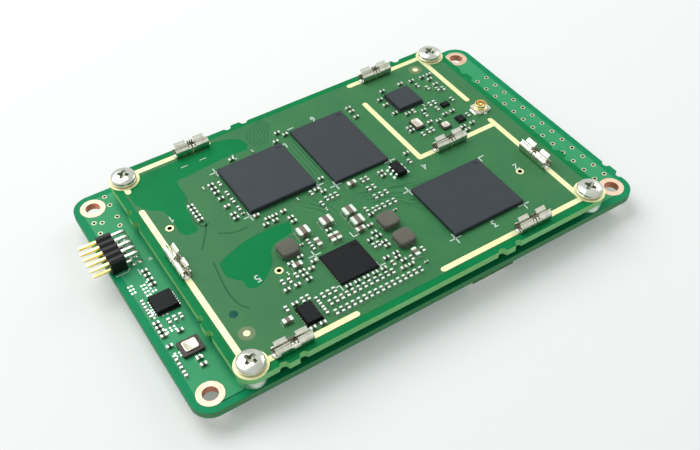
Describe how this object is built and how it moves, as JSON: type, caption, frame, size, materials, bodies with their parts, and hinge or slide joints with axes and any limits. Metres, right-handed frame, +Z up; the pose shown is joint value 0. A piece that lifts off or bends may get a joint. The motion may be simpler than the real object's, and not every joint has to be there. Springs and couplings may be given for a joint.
{
  "type": "system on module",
  "caption": "Processor module on a carrier board, with bare shield-ground strips, spring shield clips, screwed spacers, a right-angle pin header and connectors underneath.",
  "frame": {"origin": "middle of the stack's box, on the plane it rests on", "axes": "+X along the boards, away from the pin header; +Y from the port's edge to the far edge; +Z up, from the carrier to the module"},
  "size_m": [0.0804, 0.0472, 0.0086],
  "materials": {
    "board_green": "semi-gloss green solder mask over glass-epoxy",
    "chip_grey": "matte dark grey mould compound",
    "connector_black": "matte black moulded plastic",
    "connector_pale": "matte off-white moulded plastic",
    "gold_plate": "gold plated",
    "tin_plate": "satin tin plate",
    "plated_steel": "bright plated steel",
    "coil_grey": "matte grey-brown moulded ferrite powder"
  },
  "bodies": {
    "root": {"carrier_board": "board_green", "module_board": "board_green", "screw_front_left": "plated_steel", "screw_front_right": "plated_steel", "screw_back_left": "plated_steel", "screw_back_right": "plated_steel", "spacer_front_left": "tin_plate", "spacer_front_right": "tin_plate", "spacer_back_left": "tin_plate", "spacer_back_right": "tin_plate", "link_socket_left": "connector_black", "link_socket_right": "connector_black", "link_plug_left": "connector_black", "link_plug_right": "connector_black", "host_connector_left": "connector_black", "host_connector_right": "connector_black", "port_shell": "plated_steel", "port_tongue": "connector_black", "header_body": "connector_black", "header_pin_upper_1": "gold_plate", "header_pin_upper_2": "gold_plate", "header_pin_upper_3": "gold_plate", "header_pin_upper_4": "gold_plate", "header_pin_upper_5": "gold_plate", "header_pin_lower_1": "gold_plate", "header_pin_lower_2": "gold_plate", "header_pin_lower_3": "gold_plate", "header_pin_lower_4": "gold_plate", "header_pin_lower_5": "gold_plate", "shield_clip_back_left": "plated_steel", "shield_clip_back_right": "plated_steel", "shield_clip_middle": "plated_steel", "shield_clip_right": "plated_steel", "shield_clip_front_right": "plated_steel", "shield_clip_front_left": "plated_steel", "shield_clip_left": "plated_steel", "processor_chip": "chip_grey", "memory_chip": "chip_grey", "storage_chip": "chip_grey", "power_chip": "chip_grey", "radio_chip": "chip_grey", "regulator_chip": "chip_grey", "amplifier_chip": "chip_grey", "switch_chip": "chip_grey", "logic_chip": "chip_grey", "carrier_chip": "chip_grey", "radio_crystal": "tin_plate", "radio_filter": "tin_plate", "carrier_crystal": "tin_plate", "coil_1": "coil_grey", "coil_2": "coil_grey", "coil_3": "coil_grey", "chip_coil_1": "coil_grey", "chip_coil_2": "coil_grey", "chip_coil_3": "coil_grey", "chip_coil_4": "coil_grey", "coax_base": "connector_pale", "coax_shell": "gold_plate", "coax_pin": "gold_plate"}
  },
  "joints": []
}
